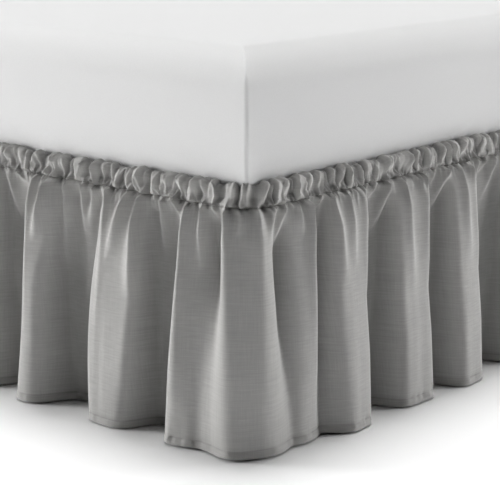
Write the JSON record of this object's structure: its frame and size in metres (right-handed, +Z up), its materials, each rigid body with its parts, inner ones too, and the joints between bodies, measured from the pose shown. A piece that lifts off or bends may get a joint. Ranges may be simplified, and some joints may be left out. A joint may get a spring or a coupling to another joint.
{
  "type": "bed skirt on a mattress and bed base",
  "caption": "Gathered wrap-around bed skirt with a shirred heading, fitted round a plain bed base and falling to the floor in soft flutes below a sheeted mattress.",
  "frame": {"origin": "on the floor under the middle of the bed", "axes": "+Z up, +Y along the bed's long side with the foot at -Y, +X across it"},
  "size_m": [1.672, 2.1761, 0.6],
  "materials": {
    "grey_cloth": "soft plain weave with fine slubs, warm mid grey",
    "white_sheet": "smooth white cotton sheet",
    "base_cover": "plain off-white base cover",
    "leg_wood": "dark stained wood"
  },
  "bodies": {
    "root": {"skirt": "grey_cloth", "heading": "grey_cloth", "mattress": "white_sheet", "bed_base": "base_cover", "leg_1": "leg_wood", "leg_2": "leg_wood", "leg_3": "leg_wood", "leg_4": "leg_wood", "leg_5": "leg_wood", "leg_6": "leg_wood"}
  },
  "joints": []
}
